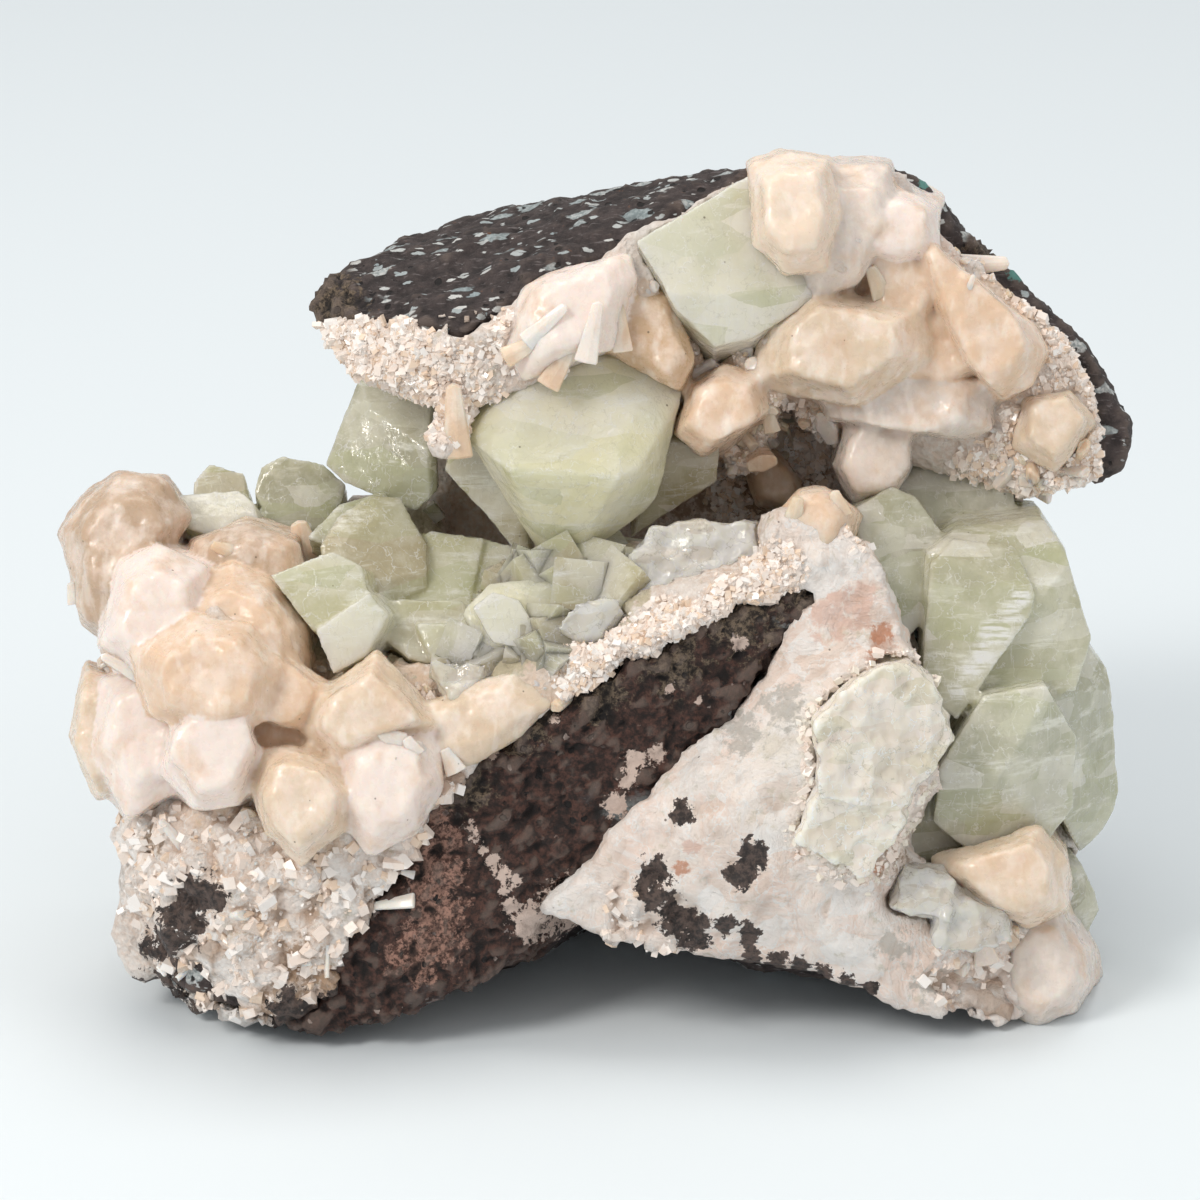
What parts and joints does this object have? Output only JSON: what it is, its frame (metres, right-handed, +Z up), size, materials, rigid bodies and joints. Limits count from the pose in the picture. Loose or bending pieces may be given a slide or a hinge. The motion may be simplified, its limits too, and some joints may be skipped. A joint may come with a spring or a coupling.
{
  "type": "apophyllite cluster",
  "caption": "Mineral specimen: pale green apophyllite and peach stilbite crystals in a white zeolite crust on dark vesicular basalt, with an overhanging roof and an arched foot",
  "frame": {"origin": "on the table, under the middle of the specimen's bounding box", "axes": "+X to the viewer's right along the specimen's length, -Y towards the viewer and the open side, +Z up"},
  "size_m": [0.1388, 0.096, 0.107],
  "materials": {
    "basalt": "rough dark rock with pale amygdales, stood in for by matte plastic",
    "zeolite": "sugary white crust with satiny peach stilbite, stood in for by matte plastic",
    "apophyllite": "milky pale green, glassy faces",
    "clear_apophyllite": "almost colourless, cracked inside, glassy faces"
  },
  "bodies": {
    "root": {"basalt_matrix": "basalt", "zeolite_bed": "zeolite", "zeolite_roof": "zeolite", "apophyllite_roof_large": "apophyllite", "apophyllite_roof_upper": "apophyllite", "apophyllite_back_left": "apophyllite", "apophyllite_bed_back": "apophyllite", "apophyllite_bed_front": "apophyllite", "apophyllite_right_heap": "apophyllite", "apophyllite_right_edge": "apophyllite", "apophyllite_clear_block": "clear_apophyllite", "apophyllite_clear_tablets": "clear_apophyllite", "apophyllite_corner_tablet": "clear_apophyllite", "apophyllite_cleaved": "clear_apophyllite", "apophyllite_step_blocks": "clear_apophyllite"}
  },
  "joints": []
}
